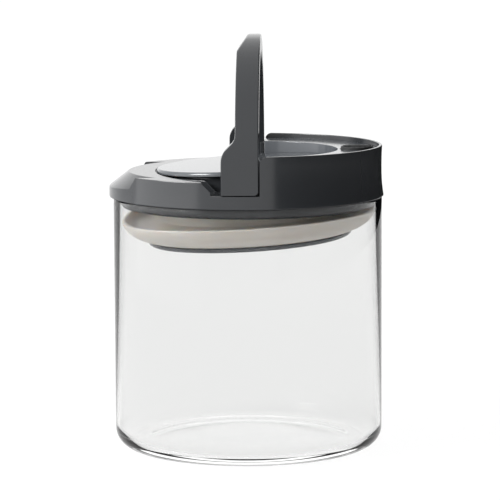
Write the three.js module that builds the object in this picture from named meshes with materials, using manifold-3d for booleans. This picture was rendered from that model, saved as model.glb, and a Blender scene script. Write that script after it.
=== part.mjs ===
// Lidded glass canister: a straight glass jar, and a press-in lid whose folding handle
// raises a plunger, so that a soft cup seal under the lid swells against the glass.
// Millimetres, +Z up. The origin is the centre of the jar's base, on the table.
// The handle stands up (lid released) and the front of the lid faces -X.
import * as THREE from "three";
import { mergeVertices } from "three/addons/utils/BufferGeometryUtils.js";
import Module from "manifold-3d";

const wasm = await Module();
wasm.setup();

// ---- driving dimensions ----
const GAP = 0.3; // running gap between neighbouring pieces
const SIDES = 48; // facets in a full turn
const SMALL_SIDES = 14; // facets in pins and screws

const JAR_RADIUS = 52.5;
const JAR_BORE = 51.1;
const JAR_HEIGHT = 98.4;
const BASE_THICKNESS = 3.4;
const HEEL_RADIUS = 7.5;

const SEAT = JAR_HEIGHT + GAP; // underside of the lid's skirt; lid heights count from here
const LID_RADIUS = 53.2; // at the foot of the skirt; the wall above it is slightly waisted
const LID_WALL = 2.2;
const NOSE_RADIUS = 46; // the front of the lid swells into a thumb nose
const NOSE_CENTRE_X = -8.1;
const FLOOR_TOP = 5;
const FLOOR_THICKNESS = 2.4;
const SHOULDER_TOP = 10;
const REAR_TOP = 19.8;
const DECK_TOP = 18;
const DECK_THICKNESS = 1.7;
const WELL_RADIUS = 35.2;
const REAR_FACE_X = 5.85;
const REAR_BORE = 51.3; // inside the rear block's thin outer wall
const REAR_CORNER = 2.6; // radius of the rear block's upper front corner
const SHOULDER_INNER_RADIUS = 67; // the shoulder's inner edge is flatter than the well
const SHOULDER_INNER_X = -36;
const NOTCH_SLOPE_X = -11.1; // foot of the notch's 45 degree front slope
const BORE_RING_RADIUS = 36.4; // a low wall round the front of the well
const BORE_RING_TOP = 9;

const COLLAR_RADIUS = 50.35;
const COLLAR_BORE = 37.6;
const COLLAR_BOTTOM = -4.1;
const COLLAR_WALL = 1.9;

const PIN_X = 1.73;
const PIN_HEIGHT = 8.27;
const PIN_RADIUS = 2;
const PIN_INNER_END = 27;
const PIN_OUTER_END = 50.2;
const TILT = THREE.MathUtils.degToRad(3.2); // the released plunger hangs low at the front

const HANDLE_RADIUS = 53; // arch of the handle, about a centre above the pins
const HANDLE_BAND = 6.4;
const HANDLE_REAR_X = 5.55;
const HANDLE_FRONT_X = -3.35;
const FOOT_FRONT_X = -8.47;
const FOOT_CLEARANCE = 0.27;
const FOOT_TOP = 20.57; // corner of the foot's upper chamfer, before it is rounded

const PLUNGER_X = -0.5 - PIN_X; // the plunger's own axis, from the pins
const CAP_RADIUS = 34.9;
const CAP_TOP = 4.65;
const CAP_SIDE = 1.7;
const BODY_RADIUS = 32.6;
const BODY_WALL = 1.8;
const PLATE_RADIUS = 40.2;
const PLATE_TOP = -24.4;
const PLATE_THICKNESS = 1.6;
const SEAL_RADIUS = 50.3;
const SEAL_LIP = -15.7;
const SEAL_WALL = 1.6;

const SLEEVE_TOP = -10;
const FLANGE = 2.4; // underside of the plunger's flange, above the base plate

const DIAL_X = 42.8;
const DIAL_RADIUS = 6.4;

// ---- tools: three.js geometry in, joined or cut solids out ----
function solid(geometry) {
  geometry.deleteAttribute("normal");
  geometry.deleteAttribute("uv");
  const merged = mergeVertices(geometry, 1e-4);
  const triangles = [];
  const index = merged.index.array;
  for (let i = 0; i < index.length; i += 3) {
    const [a, b, c] = index.subarray(i, i + 3);
    if (a !== b && b !== c && c !== a) triangles.push(a, b, c);
  }
  return new wasm.Manifold(
    new wasm.Mesh({
      numProp: 3,
      vertProperties: merged.attributes.position.array,
      triVerts: new Uint32Array(triangles),
    }),
  );
}

// A solid turned about Z from a profile of [radius, height] points, taken in either direction.
function turned(profile, sides = SIDES) {
  const points = profile.map(([r, z]) => new THREE.Vector2(r, z));
  if (THREE.ShapeUtils.area(points) < 0) points.reverse();
  const open = points.findIndex((p, i) => p.x === 0 && points[(i + 1) % points.length].x === 0);
  if (open < 0) points.push(points[0].clone());
  else points.push(...points.splice(0, open + 1));
  return solid(new THREE.LatheGeometry(points, sides).rotateX(Math.PI / 2));
}

// A flat outline in X and Y, raised from one height to another.
function raised(shape, bottom, top, curveSegments = SIDES) {
  const options = { depth: top - bottom, bevelEnabled: false, curveSegments };
  return solid(new THREE.ExtrudeGeometry(shape, options).translate(0, 0, bottom));
}

// An outline in X and Z, extruded in Y from one side to the other.
function across(points, low, high) {
  const shape = new THREE.Shape(points.map(([x, z]) => new THREE.Vector2(x, z)));
  const options = { depth: high - low, bevelEnabled: false };
  const geometry = new THREE.ExtrudeGeometry(shape, options);
  return solid(geometry.rotateX(Math.PI / 2).translate(0, high, 0));
}

function box(low, high) {
  const size = high.map((value, i) => value - low[i]);
  const centre = high.map((value, i) => (value + low[i]) / 2);
  return solid(new THREE.BoxGeometry(...size).translate(...centre));
}

// A round bar along Y.
function barAlongY(radius, low, high, x, z, sides = SMALL_SIDES) {
  const bar = new THREE.CylinderGeometry(radius, radius, high - low, sides);
  return solid(bar.translate(x, (low + high) / 2, z));
}

function disc(radius, x = 0) {
  return new THREE.Shape().absarc(x, 0, radius, 0, 2 * Math.PI);
}

function arc(centreX, centreZ, radius, from, to, steps) {
  return Array.from({ length: steps + 1 }, (_, i) => {
    const angle = from + ((to - from) * i) / steps;
    return [centreX + radius * Math.cos(angle), centreZ + radius * Math.sin(angle)];
  });
}

// ---- finishes ----
const darkPlastic = { color: 0x4c4f53, roughness: 0.35, metalness: 0 };
const wellPlastic = { color: 0x565a60, roughness: 0.3, metalness: 0 };
const clearGlass = { color: 0xeef3f3, roughness: 0.02, metalness: 0, transparent: true, opacity: 0.3 };
const silicone = { color: 0xcfc6bb, roughness: 0.5, metalness: 0 };
const steel = { color: 0xb9bbbd, roughness: 0.25, metalness: 1 };

function node(name, shape, finish) {
  const { vertProperties, triVerts } = shape.getMesh();
  const geometry = new THREE.BufferGeometry();
  geometry.setAttribute("position", new THREE.BufferAttribute(vertProperties, 3));
  geometry.setIndex(new THREE.BufferAttribute(triVerts, 1));
  geometry.computeVertexNormals();
  const mesh = new THREE.Mesh(geometry, new THREE.MeshStandardMaterial(finish));
  mesh.name = name;
  return mesh;
}

// ---- the jar ----
// Blown glass, even in wall, on a flat foot ring with the middle of the base pushed up.
function glassJar() {
  const rim = (JAR_RADIUS - JAR_BORE) / 2;
  const innerHeel = HEEL_RADIUS - 2;
  const shape = turned([
    [0, 1.1],
    [34, 0.7],
    [40, 0],
    [JAR_RADIUS - HEEL_RADIUS, 0],
    ...arc(JAR_RADIUS - HEEL_RADIUS, HEEL_RADIUS, HEEL_RADIUS, -Math.PI / 2, 0, 4).slice(1),
    ...arc(JAR_RADIUS - rim, JAR_HEIGHT - rim, rim, 0, Math.PI, 2),
    [JAR_BORE, BASE_THICKNESS + innerHeel],
    ...arc(JAR_BORE - innerHeel, BASE_THICKNESS + innerHeel, innerHeel, 0, -Math.PI / 2, 3).slice(1),
    [0, BASE_THICKNESS + 1],
  ]);
  return node("glass_jar", shape, clearGlass);
}

// ---- the lid's fixed pieces, with heights counted from the jar's rim ----
// The plan of the lid: a circle with the thumb nose swelling out of its front.
function lidPlan(inset, bottom, top) {
  const round = raised(disc(LID_RADIUS - inset), bottom, top);
  return round.add(raised(disc(NOSE_RADIUS - inset, NOSE_CENTRE_X), bottom, top));
}

// Everything in front of the notches, which end it in a 45 degree slope.
function beforeNotches(slope, bottom, top) {
  const outline = [
    [-60, bottom],
    [slope - (bottom - FLOOR_TOP), bottom],
    [slope - (top - FLOOR_TOP), top],
    [-60, top],
  ];
  return across(outline, -60, 60);
}

// The front shoulder's footprint lies outside its inner edge and in front of the notches.
function shoulder(inset, bottom, top) {
  const innerRadius = SHOULDER_INNER_RADIUS + inset;
  const innerCentre = SHOULDER_INNER_X + SHOULDER_INNER_RADIUS;
  const slope = NOTCH_SLOPE_X - (top > SHOULDER_TOP - 1 ? 0 : inset);
  return lidPlan(inset, bottom, top)
    .subtract(raised(disc(innerRadius, innerCentre), bottom - 1, top + 1))
    .intersect(beforeNotches(slope, bottom, top));
}

// The low wall round the front of the well ends in the same slopes.
function boreRing() {
  const bottom = FLOOR_TOP - 1;
  const ring = turned([
    [WELL_RADIUS, bottom],
    [BORE_RING_RADIUS, bottom],
    [BORE_RING_RADIUS, BORE_RING_TOP],
    [WELL_RADIUS, BORE_RING_TOP],
  ]);
  return ring.intersect(beforeNotches(NOTCH_SLOPE_X - 0.9, bottom, BORE_RING_TOP));
}

// The outer form of the lid: waisted at the middle of its height, with the nose in front.
function lidBlank() {
  const waisted = turned([
    [0, 0],
    [LID_RADIUS, 0],
    [LID_RADIUS - 0.35, 2.5],
    [LID_RADIUS - 0.7, 6],
    [LID_RADIUS - 0.85, 12],
    [LID_RADIUS - 0.6, REAR_TOP],
    [0, REAR_TOP],
  ]);
  return waisted.add(raised(disc(NOSE_RADIUS, NOSE_CENTRE_X), 0, REAR_TOP));
}

// Cuts away above and before the rear block's rounded upper front corner.
function rearCorner() {
  const x = REAR_FACE_X + REAR_CORNER;
  const z = REAR_TOP - REAR_CORNER;
  const outline = [
    [REAR_FACE_X - 1, z],
    ...arc(x, z, REAR_CORNER, Math.PI, Math.PI / 2, 4),
    [x, REAR_TOP + 1],
    [REAR_FACE_X - 1, REAR_TOP + 1],
  ];
  return across(outline, -60, 60);
}

// The rear block's footprint is a C behind the handle, open to the well in the middle.
function rearBlock(outerRadius, innerRadius, frontX, bottom, top) {
  return raised(disc(outerRadius), bottom, top)
    .subtract(raised(disc(innerRadius), bottom - 1, top + 1))
    .intersect(box([frontX, -60, bottom], [60, 60, top]));
}

// The thumb recess is a sloping cut in the front of the shoulder, wider at its top.
// Grown by the wall's thickness, it also keeps the hollow below it clear of the slope.
function thumbRecess(grow) {
  const cone = turned([
    [46 - 0.6 * grow, SHOULDER_TOP - 0.8 * grow],
    [54.1 - 0.6 * grow, 4 - 0.8 * grow],
    [60, 4 - 0.8 * grow],
    [60, SHOULDER_TOP + 2],
    [46 - 0.6 * grow, SHOULDER_TOP + 2],
  ]);
  const spread = new THREE.Shape();
  spread.setFromPoints([
    new THREE.Vector2(-24 - grow, 0),
    new THREE.Vector2(24 + grow, 0),
    new THREE.Vector2(34 + grow, SHOULDER_TOP + 2),
    new THREE.Vector2(-34 - grow, SHOULDER_TOP + 2),
  ]);
  const wedge = new THREE.ExtrudeGeometry(spread, { depth: 30, bevelEnabled: false });
  wedge.rotateX(Math.PI / 2).rotateZ(Math.PI / 2).translate(-60, 0, 0);
  return cone.intersect(solid(wedge));
}

// Each pin runs up and down in a slotted guide that stands on the floor beside the well.
function pinGuides() {
  const guides = [-1, 1].map((side) => {
    const [near, far] = [side * 36.2, side * 38.4].sort((a, b) => a - b);
    const post = box([-3.2, near, FLOOR_TOP - 1], [REAR_FACE_X - GAP, far, DECK_TOP - 0.5]);
    const slot = box(
      [PIN_X - PIN_RADIUS - GAP, near - 1, FLOOR_TOP + 0.6],
      [PIN_X + PIN_RADIUS + GAP, far + 1, DECK_TOP],
    );
    return post.subtract(slot);
  });
  return guides[0].add(guides[1]);
}

// The moulded shell: skirt, floor, front shoulder and rear block in one piece.
function lidHousing() {
  const floorBottom = FLOOR_TOP - FLOOR_THICKNESS;
  const skirt = lidPlan(0, 0, FLOOR_TOP).subtract(lidPlan(LID_WALL, -1, floorBottom));
  const ledge = DECK_TOP - DECK_THICKNESS - GAP;
  const shell = skirt
    .add(shoulder(0, FLOOR_TOP - 1, SHOULDER_TOP))
    .add(rearBlock(LID_RADIUS, WELL_RADIUS, REAR_FACE_X, FLOOR_TOP - 1, REAR_TOP))
    .subtract(thumbRecess(0))
    .subtract(shoulder(LID_WALL, floorBottom - 1, SHOULDER_TOP - LID_WALL).subtract(thumbRecess(LID_WALL)))
    .subtract(rearBlock(REAR_BORE, WELL_RADIUS - 1, REAR_FACE_X - 1, FLOOR_TOP, REAR_TOP + 1))
    .add(rearBlock(REAR_BORE + 0.5, REAR_BORE - 1.4, REAR_FACE_X + 2.5, ledge - 1.5, ledge))
    .subtract(rearCorner())
    .intersect(lidBlank())
    .add(boreRing())
    .subtract(raised(disc(WELL_RADIUS), -1, REAR_TOP))
    .add(pinGuides());
  return node("lid_housing", shell, darkPlastic);
}

// The crescent deck closes the rear block: it turns down at its front and to line the well.
function rearDeck() {
  const deckBottom = DECK_TOP - DECK_THICKNESS;
  const front = REAR_FACE_X;
  const outer = REAR_BORE - GAP;
  const well = rearBlock(outer, WELL_RADIUS, front, FLOOR_TOP + GAP, deckBottom + 0.5)
    .subtract(rearBlock(outer + 1, WELL_RADIUS + 1.8, front + 1.8, FLOOR_TOP - 1, deckBottom + 1));
  const post = raised(disc(3.2, DIAL_X), deckBottom - 4, deckBottom + 0.5, SMALL_SIDES);
  const plate = rearBlock(outer, WELL_RADIUS, front, deckBottom, DECK_TOP)
    .add(post)
    .subtract(raised(disc(DIAL_RADIUS + GAP, DIAL_X), DECK_TOP - 0.9, DECK_TOP + 1, 24))
    .subtract(raised(disc(1.9, DIAL_X), deckBottom - 5, DECK_TOP, SMALL_SIDES));
  return node("rear_deck", plate.add(well), wellPlastic);
}

// The date dial turns by hand on its own stem, with a finger bar across its face.
function dateDial() {
  const top = DECK_TOP + 1.1;
  const face = turned(
    [
      [0, DECK_TOP - 0.6],
      [DIAL_RADIUS, DECK_TOP - 0.6],
      [DIAL_RADIUS, top - 0.3],
      [DIAL_RADIUS - 0.3, top],
      [0, top],
    ],
    24,
  );
  const stem = turned([[0, DECK_TOP - 6.2], [1.6, DECK_TOP - 6.2], [1.6, DECK_TOP], [0, DECK_TOP]], SMALL_SIDES);
  const bar = box([-5.4, -1, DECK_TOP], [5.4, 1, top + 0.35]);
  const shape = face.add(bar).add(stem);
  return node("date_dial", shape.translate([DIAL_X, 0, 0]), darkPlastic);
}

// The collar plugs the jar's mouth. The cup seal is squeezed against its underside.
const SCREW_ANGLES = [45, 135, 225, 315].map(THREE.MathUtils.degToRad);
const COLLAR_SCREW_CIRCLE = 43.9;
const SCREW_RADIUS = 1.2;
const SCREW_HEAD = 2.4;

function collarRing() {
  const top = FLOOR_TOP - FLOOR_THICKNESS - GAP;
  const channelFloor = COLLAR_BOTTOM + 1.8;
  const ring = turned([
    [COLLAR_BORE, COLLAR_BOTTOM + 0.4],
    [COLLAR_BORE + 0.4, COLLAR_BOTTOM],
    [COLLAR_RADIUS - 0.8, COLLAR_BOTTOM],
    [COLLAR_RADIUS, COLLAR_BOTTOM + 0.8],
    [COLLAR_RADIUS, top],
    [COLLAR_RADIUS - COLLAR_WALL, top],
    [COLLAR_RADIUS - COLLAR_WALL, channelFloor],
    [COLLAR_BORE + COLLAR_WALL, channelFloor],
    [COLLAR_BORE + COLLAR_WALL, top],
    [COLLAR_BORE, top],
  ]);
  const shape = SCREW_ANGLES.reduce((whole, angle) => {
    const at = [COLLAR_SCREW_CIRCLE * Math.cos(angle), COLLAR_SCREW_CIRCLE * Math.sin(angle), 0];
    const post = turned([[0, channelFloor - 0.5], [3.2, channelFloor - 0.5], [3.2, top], [0, top]], SMALL_SIDES);
    const hole = turned(
      [
        [0, COLLAR_BOTTOM - 1],
        [SCREW_HEAD + GAP, COLLAR_BOTTOM - 1],
        [SCREW_HEAD + GAP, COLLAR_BOTTOM + 1.9],
        [SCREW_RADIUS + GAP, COLLAR_BOTTOM + 1.9],
        [SCREW_RADIUS + GAP, top + 1],
        [0, top + 1],
      ],
      SMALL_SIDES,
    );
    return whole.add(post.translate(at)).subtract(hole.translate(at));
  }, ring);
  return node("collar_ring", shape, darkPlastic);
}

// A pan-head screw with its head down, its shank ending at the given length above the head.
function screw(name, length) {
  const shape = turned(
    [
      [0, 0.7],
      [0.9, 0.7],
      [0.9, 0],
      [SCREW_HEAD - 0.4, 0],
      [SCREW_HEAD, 0.5],
      [SCREW_HEAD, 1.4],
      [SCREW_RADIUS, 1.4],
      [SCREW_RADIUS, length - 0.8],
      [0, length],
    ],
    SMALL_SIDES,
  );
  return node(name, shape, steel);
}

function collarScrews() {
  return SCREW_ANGLES.map((angle, i) => {
    const piece = screw(`collar_screw_${i + 1}`, 6);
    const x = COLLAR_SCREW_CIRCLE * Math.cos(angle);
    const y = COLLAR_SCREW_CIRCLE * Math.sin(angle);
    piece.position.set(x, y, COLLAR_BOTTOM + 0.2);
    return piece;
  });
}

// ---- the plunger: cap, body, base plate, cup seal and screws, measured from the pins ----
const CAP_PLATE = 1.2;

// The cap is a shallow cup with a snap ring below it, which is left out beside the pins.
function plungerCap() {
  const under = CAP_TOP - CAP_PLATE;
  const cup = turned([
    [0, under],
    [33.2, under],
    [33.2, CAP_TOP - CAP_SIDE],
    [CAP_RADIUS - 0.3, CAP_TOP - CAP_SIDE],
    [CAP_RADIUS, CAP_TOP - CAP_SIDE + 0.3],
    [CAP_RADIUS, CAP_TOP - 0.4],
    [CAP_RADIUS - 0.4, CAP_TOP],
    [0, CAP_TOP],
  ]);
  const snapRing = turned([
    [30, under - 2.6],
    [31, under - 2.6],
    [31.3, under - 2],
    [31, under + 0.2],
    [30, under + 0.2],
  ]).subtract(box([-8, -60, -5], [8, 60, under]));
  return node("plunger_cap", cup.add(snapRing).translate([PLUNGER_X, 0, 0]), wellPlastic);
}

const PLATE_SCREW_CIRCLE = 25;

// A drum, closed at the bottom, with a boss for each pin and a flange over the seal's foot.
function plungerBody() {
  const top = CAP_TOP - CAP_PLATE - GAP;
  const flangeBottom = PLATE_TOP + FLANGE;
  const bottom = PLATE_TOP + GAP;
  const inner = BODY_RADIUS - BODY_WALL;
  const drum = turned([
    [0, bottom],
    [BODY_RADIUS, bottom],
    [BODY_RADIUS, flangeBottom],
    [38, flangeBottom],
    [38, flangeBottom + 1.2],
    [BODY_RADIUS, flangeBottom + 2.2],
    [BODY_RADIUS, top],
    [inner + 0.9, top],
    [inner + 0.9, top - 3],
    [inner, top - 3],
    [inner, bottom + 2.4],
    [0, bottom + 2.4],
  ]);
  let shape = drum.translate([PLUNGER_X, 0, 0]);
  for (const side of [-1, 1]) {
    const [low, high] = [side * 24.5, side * 31.8].sort((a, b) => a - b);
    const boss = barAlongY(4.2, low, high, 0, -0.6).add(box([-4.2, low, -12], [4.2, high, -0.6]));
    shape = shape.add(boss.subtract(box([-6, -60, top], [6, 60, 9])));
    const [holeLow, holeHigh] = [side * 26.2, side * 40].sort((a, b) => a - b);
    shape = shape.subtract(barAlongY(PIN_RADIUS + GAP, holeLow, holeHigh, 0, 0));
  }
  for (const angle of SCREW_ANGLES) {
    const x = PLUNGER_X + PLATE_SCREW_CIRCLE * Math.cos(angle);
    const y = PLATE_SCREW_CIRCLE * Math.sin(angle);
    const post = turned([[0, bottom + 2], [3, bottom + 2], [3, bottom + 9], [0, bottom + 9]], SMALL_SIDES);
    const hole = turned([[0, bottom - 1], [1.5, bottom - 1], [1.5, bottom + 7.6], [0, bottom + 7.6]], SMALL_SIDES);
    shape = shape.add(post.translate([x, y, 0])).subtract(hole.translate([x, y, 0]));
  }
  return node("plunger_body", shape, darkPlastic);
}

// The base plate clamps the seal's foot from below. Its screws sit in counterbores.
function basePlate() {
  const bottom = PLATE_TOP - PLATE_THICKNESS;
  const ring = turned([
    [0, bottom - 0.6],
    [34, bottom - 0.6],
    [36, bottom],
    [PLATE_RADIUS - 0.4, bottom],
    [PLATE_RADIUS, bottom + 0.4],
    [PLATE_RADIUS, PLATE_TOP - 0.4],
    [PLATE_RADIUS - 0.4, PLATE_TOP],
    [0, PLATE_TOP],
  ]);
  const shape = SCREW_ANGLES.reduce((whole, angle) => {
    const hole = turned(
      [
        [0, bottom - 2],
        [SCREW_HEAD + GAP, bottom - 2],
        [SCREW_HEAD + GAP, bottom + 0.9],
        [SCREW_RADIUS + GAP, bottom + 0.9],
        [SCREW_RADIUS + GAP, 0],
        [0, 0],
      ],
      SMALL_SIDES,
    );
    const x = PLATE_SCREW_CIRCLE * Math.cos(angle);
    const y = PLATE_SCREW_CIRCLE * Math.sin(angle);
    return whole.subtract(hole.translate([x, y, 0]));
  }, ring);
  return node("base_plate", shape.translate([PLUNGER_X, 0, 0]), wellPlastic);
}

function plateScrews() {
  return SCREW_ANGLES.map((angle, i) => {
    const piece = screw(`plate_screw_${i + 1}`, 7.6);
    const x = PLUNGER_X + PLATE_SCREW_CIRCLE * Math.cos(angle);
    const y = PLATE_SCREW_CIRCLE * Math.sin(angle);
    piece.position.set(x, y, PLATE_TOP - PLATE_THICKNESS - 0.8);
    return piece;
  });
}

// The cup seal: a foot below the flange, a bowl that opens up to a free lip, and a sleeve that
// grips the drum above the flange.
function sealGasket() {
  const foot = PLATE_TOP + GAP;
  const flange = PLATE_TOP + FLANGE;
  const outer = new THREE.QuadraticBezierCurve(
    new THREE.Vector2(40.4, foot),
    new THREE.Vector2(48.4, foot + 1.8),
    new THREE.Vector2(SEAL_RADIUS, SEAL_LIP - 0.6),
  );
  const inner = new THREE.QuadraticBezierCurve(
    new THREE.Vector2(SEAL_RADIUS - SEAL_WALL, SEAL_LIP),
    new THREE.Vector2(47, foot + 3.6),
    new THREE.Vector2(38.6, foot + 5),
  );
  const profile = [
    [BODY_RADIUS + 0.5, foot],
    ...outer.getPoints(4).map((p) => [p.x, p.y]),
    [SEAL_RADIUS - 0.5, SEAL_LIP],
    ...inner.getPoints(4).map((p) => [p.x, p.y]),
    [34.5, foot + 7.5],
    [34.1, SLEEVE_TOP],
    [BODY_RADIUS + 0.4, SLEEVE_TOP],
    [BODY_RADIUS + 0.4, flange + 2.5],
    [38.3, flange + 1.5],
    [38.3, flange - GAP],
    [BODY_RADIUS + 0.5, flange - GAP],
  ];
  return node("seal_gasket", turned(profile).translate([PLUNGER_X, 0, 0]), silicone);
}

// ---- the pins and the handle, measured from the jar's rim ----
function hingePin(name, side) {
  const [low, high] = [side * PIN_INNER_END, side * PIN_OUTER_END].sort((a, b) => a - b);
  return node(name, barAlongY(PIN_RADIUS, low, high, PIN_X, PIN_HEIGHT), steel);
}

// A bail: an arch with two arms, each ending in a foot that levers on the notch's floor.
function handle() {
  const archCentre = PIN_HEIGHT + PIN_X;
  const footBottom = FLOOR_TOP + FOOT_CLEARANCE;
  const inner = HANDLE_RADIUS - HANDLE_BAND;
  const outline = new THREE.Shape();
  outline.moveTo(52.4, footBottom);
  outline.lineTo(52.4, archCentre + 7.9);
  const rise = Math.asin(7.9 / HANDLE_RADIUS);
  outline.absarc(0, archCentre, HANDLE_RADIUS, rise, Math.PI - rise, false);
  outline.lineTo(-52.4, footBottom);
  outline.lineTo(-inner, footBottom);
  outline.lineTo(-inner, archCentre);
  outline.absarc(0, archCentre, inner, Math.PI, 0, true);
  outline.lineTo(inner, footBottom);
  const depth = HANDLE_REAR_X - FOOT_FRONT_X;
  const options = { depth, bevelEnabled: false, curveSegments: 24 };
  const block = new THREE.ExtrudeGeometry(outline, options);
  block.rotateX(Math.PI / 2).rotateZ(Math.PI / 2).translate(FOOT_FRONT_X, 0, 0);

  // Seen from the side, the arm is thinner than the foot. The heel is rounded so that it
  // stays on the notch's floor while the pins rise evenly, and the toe clears the rear block.
  const heel = new THREE.QuadraticBezierCurve(
    new THREE.Vector2(FOOT_FRONT_X, PIN_HEIGHT + 4.5),
    new THREE.Vector2(PIN_X - 8.6, PIN_HEIGHT - 2.9),
    new THREE.Vector2(PIN_X - 4.6, footBottom),
  );
  const toeRadius = 2.4;
  const brow = new THREE.QuadraticBezierCurve(
    new THREE.Vector2(HANDLE_FRONT_X, FOOT_TOP + 7),
    new THREE.Vector2(HANDLE_FRONT_X, FOOT_TOP + 5.3),
    new THREE.Vector2(HANDLE_FRONT_X - 1.1, FOOT_TOP + 4.2),
  );
  const shin = new THREE.QuadraticBezierCurve(
    new THREE.Vector2(FOOT_FRONT_X + 2, FOOT_TOP + 2),
    new THREE.Vector2(FOOT_FRONT_X, FOOT_TOP),
    new THREE.Vector2(FOOT_FRONT_X, FOOT_TOP - 3),
  );
  const side = [
    ...heel.getPoints(6).map((p) => [p.x, p.y]),
    ...arc(HANDLE_REAR_X - toeRadius, footBottom + toeRadius, toeRadius, -Math.PI / 2, 0, 4),
    [HANDLE_REAR_X, 70],
    [HANDLE_FRONT_X + 4.5, 70],
    [HANDLE_FRONT_X + 4.5, 64],
    [HANDLE_FRONT_X, 57.5],
    ...brow.getPoints(3).map((p) => [p.x, p.y]),
    ...shin.getPoints(3).map((p) => [p.x, p.y]),
  ];
  let shape = solid(block).intersect(across(side, -60, 60));
  for (const way of [-1, 1]) {
    const [low, high] = [way * (inner - 1), way * (PIN_OUTER_END + GAP)].sort((a, b) => a - b);
    shape = shape.subtract(barAlongY(PIN_RADIUS + GAP, low, high, PIN_X, PIN_HEIGHT));
  }
  return node("handle", shape, darkPlastic);
}

// ---- assembly ----
const plunger = new THREE.Group();
plunger.position.set(PIN_X, 0, PIN_HEIGHT);
plunger.rotation.y = -TILT;
plunger.add(plungerCap(), plungerBody(), basePlate(), sealGasket(), ...plateScrews());

const lid = new THREE.Group();
lid.position.z = SEAT;
lid.add(lidHousing(), rearDeck(), dateDial(), collarRing(), ...collarScrews());
lid.add(hingePin("hinge_pin_left", -1), hingePin("hinge_pin_right", 1), handle(), plunger);

const canister = new THREE.Group();
canister.add(glassJar(), lid);

export default canister;
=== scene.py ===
from math import cos, pi, radians, sin, sqrt, tau

import bmesh
import bpy
from mathutils import Matrix, Vector


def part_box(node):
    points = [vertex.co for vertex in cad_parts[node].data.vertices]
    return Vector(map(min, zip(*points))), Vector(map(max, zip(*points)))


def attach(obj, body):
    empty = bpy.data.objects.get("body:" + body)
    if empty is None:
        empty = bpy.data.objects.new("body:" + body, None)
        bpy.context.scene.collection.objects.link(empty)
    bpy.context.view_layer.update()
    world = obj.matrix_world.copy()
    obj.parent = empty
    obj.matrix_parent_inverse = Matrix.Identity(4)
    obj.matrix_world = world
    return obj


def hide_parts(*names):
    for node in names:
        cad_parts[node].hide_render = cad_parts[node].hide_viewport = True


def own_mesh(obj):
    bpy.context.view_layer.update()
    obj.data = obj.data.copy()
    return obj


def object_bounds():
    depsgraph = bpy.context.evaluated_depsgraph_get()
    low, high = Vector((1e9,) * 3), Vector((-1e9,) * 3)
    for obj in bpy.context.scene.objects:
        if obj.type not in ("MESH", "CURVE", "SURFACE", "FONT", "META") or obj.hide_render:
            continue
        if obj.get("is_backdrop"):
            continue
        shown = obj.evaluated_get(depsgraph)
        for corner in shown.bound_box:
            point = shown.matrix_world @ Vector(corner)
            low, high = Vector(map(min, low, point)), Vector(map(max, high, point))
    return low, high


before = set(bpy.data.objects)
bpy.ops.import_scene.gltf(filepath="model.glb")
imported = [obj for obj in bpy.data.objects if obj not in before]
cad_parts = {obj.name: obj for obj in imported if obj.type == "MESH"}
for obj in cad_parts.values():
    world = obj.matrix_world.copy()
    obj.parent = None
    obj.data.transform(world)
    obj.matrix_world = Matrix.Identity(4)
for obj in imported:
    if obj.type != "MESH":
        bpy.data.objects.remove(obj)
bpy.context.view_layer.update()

scene = bpy.context.scene
scene.view_settings.view_transform = "Standard"

# ---- Camera ----
# A long lens a little above the lid, looking at the near arm of the standing handle.
camera = bpy.data.objects.new("camera", bpy.data.cameras.new("camera"))
scene.collection.objects.link(camera)
camera.data.lens = 203.36
camera.data.sensor_width = 36.0
camera.data.shift_x = 0.0041
camera.data.clip_end = 50.0
camera.matrix_world = (
    Matrix.Translation((0.0307, -1.0992, 0.22006))
    @ Matrix.Rotation(radians(1.6), 4, "Z")
    @ Matrix.Rotation(radians(90 - 7.418), 4, "X")
    @ Matrix.Rotation(-0.005, 4, "Z")
)
scene.camera = camera

# ---- Glass jar ----
# A straight jar of clear pressed glass, even in its wall, with a fire-rounded rim and a rounded heel.
# It stands on a flat foot ring, and the middle of its thick base is pushed up.
MM = 0.001
FINE = 160  # steps in a full turn
JAR_RADIUS = 52.5
JAR_BORE = 51.1
JAR_HEIGHT = 98.4
BASE = 3.4
HEEL = 7.5


class Field:
    """An output of a finish's nodes. Sums and products of it add Math nodes."""

    def __init__(self, tree, socket=None):
        self.tree, self.socket = tree, socket

    def node(self, kind, inputs=None, output=0, **settings):
        """An output of a new node of this kind, given its settings and the values of its inputs."""
        made = self.tree.nodes.new("ShaderNode" + kind)
        for name, value in settings.items():
            setattr(made, name, value)
        for name, value in (inputs or {}).items():
            if isinstance(value, Field):
                self.tree.links.new(value.socket, made.inputs[name])
            else:
                made.inputs[name].default_value = value
        return Field(self.tree, made.outputs[output])

    def maths(self, operation, a, b):
        return self.node("Math", {0: a, 1: b}, operation=operation)

    def __add__(self, other):
        return self.maths("ADD", self, other)

    def __mul__(self, other):
        return self.maths("MULTIPLY", self, other)

    __radd__, __rmul__ = __add__, __mul__

    def noise(self, scale, detail=3.0, stretch=(1, 1, 1)):
        """Noise from 0 to 1 on the piece, with about scale waves in a metre."""
        place = self.node("TexCoord", output="Object")
        place = self.node("Mapping", {"Vector": place, "Scale": stretch})
        return self.node("TexNoise", {"Vector": place, "Scale": scale, "Detail": detail})

    def from_axis(self):
        """The distance of a point from the upright axis through the origin, in metres."""
        place = self.node("TexCoord", output="Object")
        flat = self.node("VectorMath", {0: place, 1: (1, 1, 0)}, operation="MULTIPLY")
        return self.node("VectorMath", {0: flat}, "Value", operation="LENGTH")

    def bump(self, height, depth):
        """A normal for a height from 0 to 1, depth metres high."""
        return self.node("Bump", {"Height": height, "Distance": depth, "Strength": 1.0})

    def tint(self, mask, first, second):
        """The first colour where the mask is 0, and the second where it is 1."""
        first, second = (c if isinstance(c, Field) else (*c, 1) for c in (first, second))
        inputs = {0: mask, 6: first, 7: second}
        return self.node("Mix", inputs, output=2, data_type="RGBA")


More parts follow.
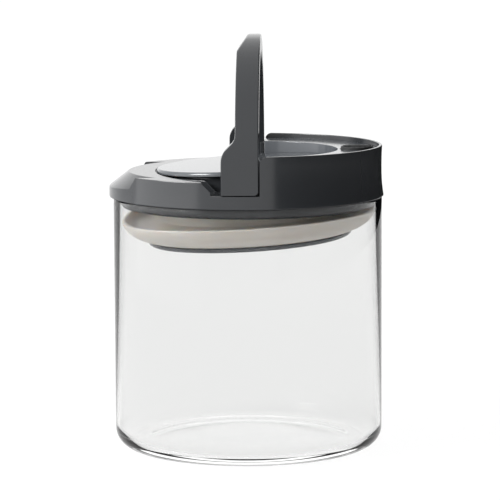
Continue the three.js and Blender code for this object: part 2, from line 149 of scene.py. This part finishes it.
def finish(name, build):
    """A material whose surface is what build makes of its empty node tree."""
    material = bpy.data.materials.new(name)
    material.use_nodes = True
    tree = material.node_tree
    tree.nodes.clear()
    surface = build(Field(tree))
    end = tree.nodes.new("ShaderNodeOutputMaterial")
    tree.links.new(surface.socket, end.inputs["Surface"])
    return material


def closed(bm):
    """Merges doubled points and turns the faces outwards."""
    bmesh.ops.remove_doubles(bm, verts=bm.verts, dist=1e-3)
    bmesh.ops.recalc_face_normals(bm, faces=bm.faces)
    return bm


def turned(profile, steps=FINE):
    """A shell turned about Z from (radius, height) points. Off the axis, the profile closes on itself."""
    bm = bmesh.new()
    points = [bm.verts.new((r, 0, z)) for r, z in profile]
    lines = [bm.edges.new(pair) for pair in zip(points, points[1:])]
    if profile[0][0] > 0:
        lines.append(bm.edges.new((points[-1], points[0])))
    bmesh.ops.spin(
        bm, geom=points + lines, axis=(0, 0, 1), angle=tau, steps=steps, use_merge=True
    )
    return closed(bm)


def arc(x, z, radius, start, end, steps):
    """Points of an arc from one angle to another, in degrees."""
    angles = [radians(start + (end - start) * i / steps) for i in range(steps + 1)]
    return [(x + radius * cos(a), z + radius * sin(a)) for a in angles]


def soften(bm, width, angle=35, segments=2, clamp=True):
    """Rounds every outer edge that turns by more than the angle."""
    edges = [e for e in bm.edges if e.is_convex and e.calc_face_angle() > radians(angle)]
    bmesh.ops.bevel(
        bm, geom=edges, offset=width, segments=segments, profile=0.5,
        affect="EDGES", clamp_overlap=clamp, material=-1,
    )
    return bm


def part(name, bm, body, slot, material, *nodes, even=True):
    """Makes a piece of a shape in millimetres, and puts it in the place of its CAD nodes."""
    bmesh.ops.scale(bm, vec=(MM, MM, MM), verts=bm.verts)
    mesh = bpy.data.meshes.new(name)
    bm.to_mesh(mesh)
    bm.free()
    mesh.shade_smooth()
    mesh.set_sharp_from_angle(angle=radians(32))
    piece = bpy.data.objects.new(name, mesh)
    scene.collection.objects.link(piece)
    piece.data.materials.append(material)
    if even:
        level = piece.modifiers.new("even normals", "WEIGHTED_NORMAL")
        level.keep_sharp = True
    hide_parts(*nodes)
    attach(piece, body)
    return piece


def build_glass(f):
    """Nearly clear, with painted shade that greys the outside where it turns away and darkens its very edge,
    standing in for dark reflections at its sides. A low index keeps its sides from darkening.
    """
    ripple = f.noise(28, 1.5, (1, 1, 0.4))
    turn = f.node("LayerWeight", {"Blend": 0.5}, "Facing")
    outer = f.maths("GREATER_THAN", f.from_axis(), (JAR_RADIUS - 0.5) * MM)
    # painted shade: the outside greys where it turns away from the view, in place of the dark reflections at
    # the jar's sides
    painted_flank_shade = f.node("MapRange", {0: turn, 1: 0.6, 2: 0.82, 3: 0.0, 4: 1.0})
    # painted shade: the outside's very edge goes nearly black, in place of the same dark reflections
    edge = f.node("MapRange", {0: turn, 1: 0.82, 2: 0.9, 3: 0.0, 4: 1.0})
    clear = f.tint(f.noise(9, 1), (0.88, 0.882, 0.88), (0.895, 0.897, 0.894))
    clear = f.tint(painted_flank_shade * outer, clear, (0.83, 0.832, 0.83))
    return f.node("BsdfPrincipled", {
        "Base Color": f.tint(edge * outer, clear, (0.3, 0.31, 0.31)),
        "Roughness": f.noise(60) * 0.012,
        "IOR": 1.18,
        "Transmission Weight": 1.0,
        "Normal": f.bump(ripple, 0.00008),
    })


rim = (JAR_RADIUS - JAR_BORE) / 2
inner_heel = HEEL - 2
jar = turned([
    (0, 1.2),
    (18, 1.1),
    (34, 0.7),
    (39, 0.15),
    (40, 0),
    (JAR_RADIUS - HEEL, 0),
    *arc(JAR_RADIUS - HEEL, HEEL, HEEL, -90, 0, 12)[1:],
    *arc(JAR_RADIUS - rim, JAR_HEIGHT - rim, rim, 0, 180, 8),
    (JAR_BORE, BASE + inner_heel),
    *arc(JAR_BORE - inner_heel, BASE + inner_heel, inner_heel, 0, -90, 10)[1:],
    (36, BASE + 0.2),
    (18, BASE + 0.9),
    (0, BASE + 1.1),
], 192)
part("jar", jar, "jar", "glass", finish("clear glass", build_glass), "glass_jar", even=False)

# ---- Lid housing ----
# The lid's moulded shell in glossy grey ABS: a skirt on the rim, the front shoulder with its thumb
# recess, the notches for the handle's feet, and the raised rear block. One injection moulding.
SEAT = 98.7  # the skirt's underside; the lid's heights count from here
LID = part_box("lid_housing")[1].y / MM
NOSE = 46.0
NOSE_X = -8.1
FLOOR = 5.0
SHOULDER = 10.0
REAR = 19.8
DECK = 18.0
WELL = 35.2
REAR_FACE = 5.85
REAR_BORE = 51.3  # inside the rear block's thin outer wall
CORNER = 2.6
SLOPE = -11.1
SLOT = 2.3  # half the width of the slots that the pins slide in
PIN_X = 1.73
PIN_HEIGHT = 8.27


def drum(radius, low, high, x=0.0, steps=FINE):
    """A plain upright cylinder."""
    bm = bmesh.new()
    bmesh.ops.create_cone(
        bm, cap_ends=True, segments=steps, radius1=radius, radius2=radius, depth=high - low,
        matrix=Matrix.Translation((x, 0, (low + high) / 2)),
    )
    return closed(bm)


def block(low, high):
    bm = bmesh.new()
    size = [b - a for a, b in zip(low, high)]
    centre = [(a + b) / 2 for a, b in zip(low, high)]
    bmesh.ops.create_cube(bm, matrix=Matrix.Translation(centre) @ Matrix.Diagonal((*size, 1)))
    return bm


def across(points, low, high):
    """An outline in X and Z, drawn out along Y."""
    bm = bmesh.new()
    face = bm.faces.new([bm.verts.new((x, low, z)) for x, z in points])
    grown = bmesh.ops.extrude_face_region(bm, geom=[face])["geom"]
    moved = [v for v in grown if isinstance(v, bmesh.types.BMVert)]
    bmesh.ops.translate(bm, verts=moved, vec=(0, high - low, 0))
    return closed(bm)


def merged(bm, tool, operation):
    """The first shape with the second joined on, cut out or kept where both are."""
    pair = []
    for shape in (bm, tool):
        mesh = bpy.data.meshes.new("shape")
        shape.to_mesh(mesh)
        shape.free()
        pair.append(bpy.data.objects.new("shape", mesh))
        scene.collection.objects.link(pair[-1])
    cut = pair[0].modifiers.new("cut", "BOOLEAN")
    cut.object, cut.operation, cut.solver = pair[1], operation, "EXACT"
    view = bpy.context.evaluated_depsgraph_get()
    result = bmesh.new()
    result.from_mesh(pair[0].evaluated_get(view).to_mesh())
    for o in pair:
        mesh = o.data
        bpy.data.objects.remove(o)
        bpy.data.meshes.remove(mesh)
    return result


def joined(bm, tool):
    return merged(bm, tool, "UNION")


def cut_by(bm, tool):
    return merged(bm, tool, "DIFFERENCE")


def within(bm, tool):
    return merged(bm, tool, "INTERSECT")


def beside(bm, other):
    """Both shapes as they are, in one."""
    mesh = bpy.data.meshes.new("shape")
    other.to_mesh(mesh)
    other.free()
    bm.from_mesh(mesh)
    bpy.data.meshes.remove(mesh)
    return bm


def tidied(bm):
    """Joins flat neighbouring faces and closes up tiny edges, so that what is left can be rounded."""
    bmesh.ops.remove_doubles(bm, verts=bm.verts, dist=0.02)
    bmesh.ops.dissolve_degenerate(bm, edges=bm.edges, dist=0.01)
    bmesh.ops.dissolve_limit(bm, angle_limit=radians(0.4), verts=bm.verts, edges=bm.edges)
    bmesh.ops.dissolve_degenerate(bm, edges=bm.edges, dist=0.25)
    return bm


def nosed(bm, inset=0.0):
    """Swells the front of a round shell out to the thumb nose, or to a line inside it."""
    for v in bm.verts:
        r = sqrt(v.co.x ** 2 + v.co.y ** 2)
        if r > 40 and v.co.x < 0:
            reach = NOSE_X * v.co.x / r + sqrt(NOSE ** 2 - (NOSE_X * v.co.y / r) ** 2)
            grow = max(1.0, (reach - inset) / r)
            v.co.x *= grow
            v.co.y *= grow
    return bm


def build_plastic(colour, gloss):
    """Injection-moulded ABS with a mirror polish, faint flow marks and fine rubbing."""
    dark = tuple(c * 0.9 for c in colour)
    light = tuple(c * 1.12 for c in colour)

    def build(f):
        flow = f.noise(35, 2, (1, 1, 0.35))
        rubbed = f.noise(700, 4)
        return f.node("BsdfPrincipled", {
            "Base Color": f.tint(flow, dark, light),
            "Roughness": gloss * 0.75 + rubbed * (gloss * 0.5),
            "IOR": 1.52,
            "Normal": f.bump(f.noise(1400, 2), 0.000004),
        })

    return build


grey = finish("polished grey plastic", build_plastic((0.027, 0.029, 0.032), 0.16))

housing = nosed(turned([
    (0, 0),
    (LID, 0),
    (LID - 0.2, 1.2),
    (LID - 0.36, 2.5),
    (LID - 0.55, 4),
    (LID - 0.7, 6),
    (LID - 0.82, 9),
    (LID - 0.85, 12),
    (LID - 0.78, 16),
    (LID - 0.6, REAR),
    (0, REAR),
], 192))
# The thumb recess is part of a cone, kept between two slanting ends.
recess = turned([(28.5, 24), (54.6, 3.7), (60, 3.7), (60, 24)])
wedge = bmesh.new()
side = [(-24, 0), (24, 0), (41.1, 24), (-41.1, 24)]
face = wedge.faces.new([wedge.verts.new((-60, y, z)) for y, z in side])
grown = bmesh.ops.extrude_face_region(wedge, geom=[face])["geom"]
bmesh.ops.translate(
    wedge, verts=[v for v in grown if isinstance(v, bmesh.types.BMVert)], vec=(30, 0, 0)
)
housing = cut_by(housing, within(recess, closed(wedge)))
# Everything above the shoulder and the notch floors goes, up to the rear block.
above = [
    (REAR_FACE, 30), (REAR_FACE, FLOOR), (SLOPE, FLOOR),
    (SLOPE - SHOULDER + FLOOR, SHOULDER), (-60, SHOULDER), (-60, 30),
]
housing = cut_by(housing, across(above, -60, 60))
# The pocket that takes the deck, and the block's rounded upper front corner.
pocket = within(drum(REAR_BORE, FLOOR + 0.2, 30), block((REAR_FACE - 1, -60, 0), (60, 60, 40)))
housing = cut_by(housing, pocket)
corner = [
    (REAR_FACE - 1, REAR - CORNER),
    *arc(REAR_FACE + CORNER, REAR - CORNER, CORNER, 180, 90, 8),
    (REAR_FACE + CORNER, 30),
    (REAR_FACE - 1, 30),
]
housing = cut_by(housing, across(corner, -60, 60))
# Inside the shoulder's flat inner curve, all but a low wall round the well goes.
groove = cut_by(drum(67, FLOOR, 30, 31), drum(36.4, 0, 9))
groove = within(groove, block((-60, -60, 0), (REAR_FACE - 0.5, 60, 40)))
housing = cut_by(housing, groove)
housing = cut_by(housing, drum(WELL, -5, 40))
housing = cut_by(housing, nosed(drum(LID - 2.6, -2, FLOOR - 2.4), 2.2))
housing = soften(tidied(housing), 0.32, clamp=False)
# Two posts on each side guide a pin.
for way in (-1, 1):
    low, high = sorted((way * 36.2, way * 38.4))
    for start, end in ((-3.2, PIN_X - SLOT), (PIN_X + SLOT, REAR_FACE - 0.3)):
        post = soften(block((start, low, FLOOR - 0.9), (end, high, DECK - 0.5)), 0.3)
        housing = beside(housing, post)
bmesh.ops.translate(housing, verts=housing.verts, vec=(0, 0, SEAT))
part("housing", housing, "lid", "grey_plastic", grey, "lid_housing")

# ---- Rear deck ----
# The crescent cover that drops into the rear block, and turns down to line the well behind the
# plunger. The same plastic, a little bluer and with a finer polish. It snaps into the housing.
blue_grey = finish("well plastic", build_plastic((0.075, 0.082, 0.092), 0.12))
DIAL_X = 42.8
DECK_WALL = 1.8
deck_reach = REAR_BORE - 0.3
deck_under = DECK - 1.7
deck = turned([(WELL, FLOOR + 0.3), (deck_reach, FLOOR + 0.3), (deck_reach, DECK), (WELL, DECK)])
deck = within(deck, block((REAR_FACE, -60, 0), (60, 60, 40)))
hollow = turned([
    (WELL + DECK_WALL, 0), (REAR_BORE + 2, 0), (REAR_BORE + 2, deck_under), (WELL + DECK_WALL, deck_under),
])
deck = cut_by(deck, within(hollow, block((REAR_FACE + DECK_WALL, -60, -5), (60, 60, 40))))
deck = cut_by(deck, drum(6.7, DECK - 0.9, 30, DIAL_X, 64))
deck = soften(tidied(deck), 0.3, clamp=False)
bmesh.ops.translate(deck, verts=deck.verts, vec=(0, 0, SEAT))
part("deck", deck, "lid", "grey_plastic", blue_grey, "rear_deck")

# ---- Date dial ----
# A small turning dial for the date of filling, in near-black plastic, with a finger bar across it
# and a raised tick for each month. It clips into the deck on its stem.
black = finish("dial plastic", build_plastic((0.02, 0.021, 0.022), 0.6))
DIAL = 6.4
DIAL_TOP = DECK + 1.1
dial = turned([
    (0, DECK - 6.2), (1.6, DECK - 6.2), (1.6, DECK - 0.6), (DIAL, DECK - 0.6), (DIAL, DIAL_TOP - 0.3),
    (DIAL - 0.3, DIAL_TOP), (5.8, DIAL_TOP), (5.6, DIAL_TOP - 0.15), (0, DIAL_TOP - 0.15),
], 64)
bar = soften(block((-5.4, -1.0, DIAL_TOP - 0.8), (5.4, 1.0, DIAL_TOP + 0.35)), 0.25)
dial = joined(dial, bar)
for i in range(12):
    tick = block((3.7, -0.16, DIAL_TOP - 0.8), (4.8, 0.16, DIAL_TOP + 0.05))
    bmesh.ops.rotate(tick, verts=tick.verts, matrix=Matrix.Rotation(tau * (i + 0.5) / 12, 3, "Z"))
    dial = joined(dial, tick)
bmesh.ops.translate(dial, verts=dial.verts, vec=(DIAL_X, 0, SEAT))
part("dial", dial, "dial", "dial_plastic", black, "date_dial")

# ---- Collar ring ----
# The ring that plugs the jar's mouth under the skirt. The same grey plastic, held up by four screws.
COLLAR = 50.35
COLLAR_BORE = 37.6
COLLAR_LOW = -4.1
COLLAR_TOP = 2.3
COLLAR_WALL = 1.9
SCREW_CIRCLE = 43.9
ANGLES = [radians(a) for a in (45, 135, 225, 315)]


def placed(bm, x, y, z=0.0):
    bmesh.ops.translate(bm, verts=bm.verts, vec=(x, y, z))
    return bm


collar = turned([
    (COLLAR_BORE, COLLAR_LOW + 0.4),
    (COLLAR_BORE + 0.4, COLLAR_LOW),
    (COLLAR - 1.6, COLLAR_LOW),
    (COLLAR - 0.9, COLLAR_LOW + 0.15),
    (COLLAR - 0.35, COLLAR_LOW + 0.6),
    (COLLAR - 0.05, COLLAR_LOW + 1.3),
    (COLLAR, COLLAR_LOW + 2.0),
    (COLLAR - 0.15, COLLAR_LOW + 2.9),
    (COLLAR - 0.5, COLLAR_LOW + 3.7),
    (COLLAR - 0.6, COLLAR_LOW + 4.0),
    (COLLAR - 0.6, COLLAR_TOP),
    (COLLAR - COLLAR_WALL, COLLAR_TOP),
    (COLLAR - COLLAR_WALL, COLLAR_LOW + 1.8),
    (COLLAR_BORE + COLLAR_WALL, COLLAR_LOW + 1.8),
    (COLLAR_BORE + COLLAR_WALL, COLLAR_TOP),
    (COLLAR_BORE, COLLAR_TOP),
])
for angle in ANGLES:
    x, y = SCREW_CIRCLE * cos(angle), SCREW_CIRCLE * sin(angle)
    collar = joined(collar, placed(drum(3.2, COLLAR_LOW + 1, COLLAR_TOP, 0, 32), x, y))
    hole = turned([
        (0, COLLAR_LOW - 1), (2.7, COLLAR_LOW - 1), (2.7, COLLAR_LOW + 1.9), (1.5, COLLAR_LOW + 1.9),
        (1.5, COLLAR_TOP + 1), (0, COLLAR_TOP + 1),
    ], 32)
    collar = cut_by(collar, placed(hole, x, y))
placed(collar, 0, 0, SEAT)
part("collar", collar, "lid", "grey_plastic", grey, "collar_ring")

# ---- Plunger frame ----
# Where the plunger hangs: its own pieces are measured from the pins, and it rests tilted by 3.2
# degrees, low at the front, until the handle is folded.
HANG = Matrix.Translation((PIN_X, 0, SEAT + PIN_HEIGHT)) @ Matrix.Rotation(radians(-3.2), 4, "Y")
AXIS = -0.5 - PIN_X


def hung(bm):
    bmesh.ops.transform(bm, matrix=HANG, verts=bm.verts)
    return bm


# ---- Screws ----
# Eight small pan-head screws of plated steel with cross recesses, heads down: four hold the collar
# to the housing, and four hold the base plate to the plunger.
def build_steel(f):
    """Plated steel with fine lines round each piece."""
    brushed = f.noise(900, 3, (1, 1, 0.05))
    return f.node("BsdfPrincipled", {
        "Base Color": f.tint(brushed, (0.5, 0.5, 0.49), (0.62, 0.62, 0.61)),
        "Metallic": 1.0,
        "Roughness": 0.2 + brushed * 0.2,
    })


steel = finish("plated steel", build_steel)


def screw(length):
    """Head down, with its thread as a row of ridges."""
    thread = []
    z = 1.9
    while z < length - 1.2:
        thread += [(1.0, z), (1.22, z + 0.25)]
        z += 0.5
    shape = turned([
        (0, 0), (1.7, 0), (2.15, 0.15), (2.4, 0.55), (2.4, 1.4), (1.1, 1.4), *thread,
        (1.0, length - 0.9), (0, length),
    ], 28)
    cross = joined(block((-1.3, -0.25, -1), (1.3, 0.25, 0.75)), block((-0.25, -1.3, -1), (0.25, 1.3, 0.75)))
    return cut_by(shape, cross)


for i, angle in enumerate(ANGLES):
    x, y = SCREW_CIRCLE * cos(angle), SCREW_CIRCLE * sin(angle)
    shape = placed(screw(6), x, y, SEAT + COLLAR_LOW + 0.2)
    name = f"collar_screw_{i + 1}"
    part(f"collar_fixing_{i + 1}", shape, "lid", "steel", steel, name)

PLATE_TOP = -24.4
PLATE_LOW = PLATE_TOP - 1.6
for i, angle in enumerate(ANGLES):
    shape = placed(screw(7.6), AXIS + 25 * cos(angle), 25 * sin(angle), PLATE_LOW - 0.8)
    name = f"plate_screw_{i + 1}"
    part(f"plate_fixing_{i + 1}", hung(shape), "plunger", "steel", steel, name)

# ---- Plunger cap ----
# The round pressing face in the well. A shallow glossy cup that snaps onto the plunger's drum.
CAP_TOP = 4.65
cap_grey = finish("cap plastic", build_plastic((0.09, 0.097, 0.105), 0.1))
cap = turned([
    (0, CAP_TOP - 1.2), (33.2, CAP_TOP - 1.2), (33.2, CAP_TOP - 1.7), (34.7, CAP_TOP - 1.7),
    (34.9, CAP_TOP - 1.55), (34.86, CAP_TOP - 1.1), (34.74, CAP_TOP - 0.65), (34.54, CAP_TOP - 0.28),
    (34.26, CAP_TOP - 0.06), (34.0, CAP_TOP), (0, CAP_TOP),
])
snap = turned([
    (30, CAP_TOP - 3.8), (31, CAP_TOP - 3.8), (31.3, CAP_TOP - 3.2), (31, CAP_TOP - 1), (30, CAP_TOP - 1),
])
snap = cut_by(snap, block((-8, -60, -9), (8, 60, CAP_TOP - 1.2)))
cap = joined(cap, snap)
part("cap", hung(placed(cap, AXIS, 0)), "plunger", "cap_plastic", cap_grey, "plunger_cap")

# ---- Plunger body ----
# The drum that carries the cap above and the base plate below, with a boss for each pin and a
# flange over the seal's foot. Moulded in the grey plastic.
BODY = 32.6
BODY_TOP = CAP_TOP - 1.5
BODY_LOW = PLATE_TOP + 0.3
FLANGE = PLATE_TOP + 2.4
body = turned([
    (0, BODY_LOW), (BODY, BODY_LOW),
    (BODY, FLANGE), (37.7, FLANGE), (38, FLANGE + 0.3), (38, FLANGE + 1.2), (BODY, FLANGE + 2.2),
    (BODY, BODY_TOP), (31.7, BODY_TOP), (31.7, BODY_TOP - 3), (30.8, BODY_TOP - 3),
    (30.8, BODY_LOW + 2.4), (0, BODY_LOW + 2.4),
])
placed(body, AXIS, 0)


def bar_y(radius, low, high, x=0.0, z=0.0, steps=40):
    bm = drum(radius, low, high, 0, steps)
    bmesh.ops.rotate(bm, verts=bm.verts, matrix=Matrix.Rotation(-pi / 2, 3, "X"))
    return placed(bm, x, 0, z)


for way in (-1, 1):
    low, high = sorted((way * 24.5, way * 31.8))
    boss = joined(bar_y(4.2, low, high, 0, -0.6), block((-4.2, low, -12), (4.2, high, -0.6)))
    boss = cut_by(boss, block((-6, -60, BODY_TOP), (6, 60, 9)))
    body = joined(body, boss)
    low, high = sorted((way * 26.2, way * 40))
    body = cut_by(body, bar_y(2.3, low, high))
part("body", hung(body), "plunger", "grey_plastic", grey, "plunger_body")

# ---- Base plate ----
# The glossy disc under the plunger. It clamps the seal's foot, and its screws sit in counterbores.
plate = turned([
    (0, PLATE_LOW - 0.6), (34, PLATE_LOW - 0.6), (36, PLATE_LOW), (39.8, PLATE_LOW), (40.2, PLATE_LOW + 0.4),
    (40.2, PLATE_TOP - 0.4), (39.8, PLATE_TOP), (0, PLATE_TOP),
])
for angle in ANGLES:
    hole = turned([
        (0, PLATE_LOW - 2), (2.7, PLATE_LOW - 2), (2.7, PLATE_LOW + 0.9), (1.5, PLATE_LOW + 0.9),
        (1.5, 0), (0, 0),
    ], 32)
    plate = cut_by(plate, placed(hole, 25 * cos(angle), 25 * sin(angle)))
part("plate", hung(placed(plate, AXIS, 0)), "plunger", "cap_plastic", cap_grey, "base_plate")

# ---- Cup seal ----
# A soft ring of milky silicone. Its foot is clamped under the flange, and its bowl opens up to a
# thin lip, which swells against the glass when the handle is folded.
FOOT = PLATE_TOP + 0.3
LIP = 50.3
LIP_TOP = -15.7
SLEEVE_TOP = -10.0


def bend(start, pull, end, steps):
    """Points of a curve from start to end, drawn towards pull."""
    result = []
    for i in range(steps + 1):
        t = i / steps
        a, b, c = (1 - t) ** 2, 2 * t * (1 - t), t * t
        result.append((a * start[0] + b * pull[0] + c * end[0], a * start[1] + b * pull[1] + c * end[1]))
    return result


def build_silicone(f):
    """Milky and slightly cloudy, warmer towards its sleeve, where painted light also makes it much lighter
    to lift it out of the collar's shade.
    """
    cloud = f.tint(f.noise(40, 2), (0.66, 0.62, 0.57), (0.74, 0.7, 0.65))
    # warmer tone and painted light: from 44 mm in to 36 mm from the axis the colour turns warm and much
    # lighter, brightening the sleeve out of the collar's shade
    sleeve_warmth_and_painted_light = f.node("MapRange", {0: f.from_axis(), 1: 0.036, 2: 0.044, 3: 1.0, 4: 0.0})
    return f.node("BsdfPrincipled", {
        "Base Color": f.tint(sleeve_warmth_and_painted_light, cloud, (0.95, 0.86, 0.76)),
        "Roughness": 0.32 + f.noise(500) * 0.16,
        "IOR": 1.41,
        "Subsurface Weight": 0.5,
        "Subsurface Radius": (1.0, 0.8, 0.6),
        "Subsurface Scale": 0.003,
        "Transmission Weight": 0.1,
        "Normal": f.bump(f.noise(1200, 2), 0.00001),
    })


seal = turned([
    (BODY + 0.5, FOOT),
    *bend((40.4, FOOT), (48.4, FOOT + 1.8), (LIP, LIP_TOP - 0.6), 14),
    (LIP - 0.1, LIP_TOP - 0.2),
    (LIP - 0.5, LIP_TOP),
    (LIP - 1.1, LIP_TOP),
    *bend((LIP - 1.6, LIP_TOP - 0.2), (47, FOOT + 3.6), (38.6, FOOT + 5), 14),
    (36, FOOT + 5.9),
    (34.7, FOOT + 7.2),
    (34.3, FOOT + 9),
    (34.1, SLEEVE_TOP - 0.3),
    (33.8, SLEEVE_TOP),
    (BODY + 0.4, SLEEVE_TOP),
    (BODY + 0.4, FLANGE + 2.5),
    (38.3, FLANGE + 1.5),
    (38.3, FLANGE - 0.3),
    (BODY + 0.5, FLANGE - 0.3),
])
silicone = finish("milky silicone", build_silicone)
seal = part("seal", hung(placed(seal, AXIS, 0)), "plunger", "silicone", silicone, "seal_gasket", even=False)
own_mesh(seal)

# ---- Hinge pins ----
# Two plain ground pins join the handle to the plunger, and slide in the housing's slots.
for name, way in (("left", -1), ("right", 1)):
    low, high = sorted((way * 27, way * 50.2))
    pin = soften(bar_y(2.0, low, high, PIN_X, SEAT + PIN_HEIGHT), 0.3)
    part(f"pin_{name}", pin, "pins", "steel", steel, f"hinge_pin_{name}")

# ---- Handle ----
# The bail: an even arch of the grey plastic with a foot on each arm. It turns on the pins, and its
# feet lever on the floors of the notches. One moulding, with bevelled edges and a scooped tip.
ARCH = 53.0
BAND = 6.4
ARM = 52.4
ARCH_Z = PIN_HEIGHT + PIN_X
HANDLE_BACK = 5.55
HANDLE_FRONT = -3.35
FOOT_FRONT = -8.65
FOOT_LOW = FLOOR + 0.2
inner = ARCH - BAND
lean = 8.57
outline = [
    (ARM, FOOT_LOW), *arc(0, ARCH_Z, ARCH, lean, 180 - lean, 96), (-ARM, FOOT_LOW),
    (-inner, FOOT_LOW), *arc(0, ARCH_Z, inner, 180, 0, 96), (inner, FOOT_LOW),
]
handle = bmesh.new()
face = handle.faces.new([handle.verts.new((-12, y, z)) for y, z in outline])
grown = bmesh.ops.extrude_face_region(handle, geom=[face])["geom"]
bmesh.ops.translate(
    handle, verts=[v for v in grown if isinstance(v, bmesh.types.BMVert)], vec=(24, 0, 0)
)
closed(handle)
side = [
    (FOOT_FRONT, FOOT_LOW), (HANDLE_BACK - 1.8, FOOT_LOW),
    *arc(HANDLE_BACK - 1.8, FOOT_LOW + 1.8, 1.8, -90, 0, 6)[1:],
    (HANDLE_BACK, 70), (HANDLE_FRONT + 4.5, 70), (HANDLE_FRONT + 4.5, 64), (HANDLE_FRONT, 57.5),
    *bend((HANDLE_FRONT, 28.2), (HANDLE_FRONT, 25.87), (HANDLE_FRONT - 1.3, 24.53), 6),
    *bend((FOOT_FRONT + 2.0, 22.57), (FOOT_FRONT, 20.57), (FOOT_FRONT, 17.6), 6),
]
handle = within(handle, across(side, -60, 60))
handle = soften(tidied(handle), 0.55, 30, clamp=False)
for way in (-1, 1):
    low, high = sorted((way * (inner - 2), way * 50.5))
    handle = cut_by(handle, bar_y(2.3, low, high, PIN_X, PIN_HEIGHT))
placed(handle, 0, 0, SEAT)
part("bail", handle, "handle", "grey_plastic", grey, "handle")

# ---- Studio ----
# A plain white floor that glows enough to hide shadows, a bright sweep behind, a tall soft light and
# a small strong one on the left, and a black card on the right. No card shows to the camera.
world = bpy.data.worlds.new("studio")
scene.world = world
world.use_nodes = True
world.node_tree.nodes["Background"].inputs["Color"].default_value = (1, 1, 1, 1)
world.node_tree.nodes["Background"].inputs["Strength"].default_value = 1.02


def glow(colour, strength, matt=0.0):
    def build(f):
        light = f.node("Emission", {"Color": (*colour, 1), "Strength": strength})
        if not matt:
            return light
        base = f.node("BsdfDiffuse", {"Color": (matt, matt, matt, 1)})
        return f.node("AddShader", {0: light, 1: base})
    return build


floor_mesh = bpy.data.meshes.new("floor")
bm = bmesh.new()
bmesh.ops.create_grid(bm, x_segments=1, y_segments=1, size=12)
bmesh.ops.translate(bm, verts=bm.verts, vec=(0, 0, -0.0002))
bm.to_mesh(floor_mesh)
bm.free()
floor = bpy.data.objects.new("floor", floor_mesh)
scene.collection.objects.link(floor)
floor.data.materials.append(finish("white floor", glow((1, 1, 1), 0.96, 0.08)))
floor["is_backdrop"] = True


def card(name, radius, start, end, low, high, material):
    """A curved standing card. Its ends are angles from straight in front, to the right."""
    bm = bmesh.new()
    a = radians(start - 90)
    foot = bm.verts.new((radius * cos(a), radius * sin(a), low))
    head = bm.verts.new((radius * cos(a), radius * sin(a), high))
    edge = bm.edges.new((foot, head))
    bmesh.ops.spin(bm, geom=[foot, head, edge], axis=(0, 0, 1), angle=radians(end - start), steps=24)
    mesh = bpy.data.meshes.new(name)
    bm.to_mesh(mesh)
    bm.free()
    piece = bpy.data.objects.new(name, mesh)
    scene.collection.objects.link(piece)
    piece.data.materials.append(material)
    piece.visible_camera = False
    piece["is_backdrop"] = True
    return piece


dark = card("right card", 0.3, 22, 165, 0.066, 0.9, finish("black card", glow((0, 0, 0), 0.0, 0.01)))
dark.visible_transmission = False
card("left light", 0.9, -105, -40, 0.0, 0.9, finish("soft light", glow((1, 1, 1), 2.1)))
card("high light", 0.8, -78, -52, 0.36, 0.75, finish("strong light", glow((1, 1, 1), 20.0)))
card("back light", 2.0, 150, 210, 0.05, 1.2, finish("back glow", glow((1, 1, 1), 1.3)))

low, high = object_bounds()
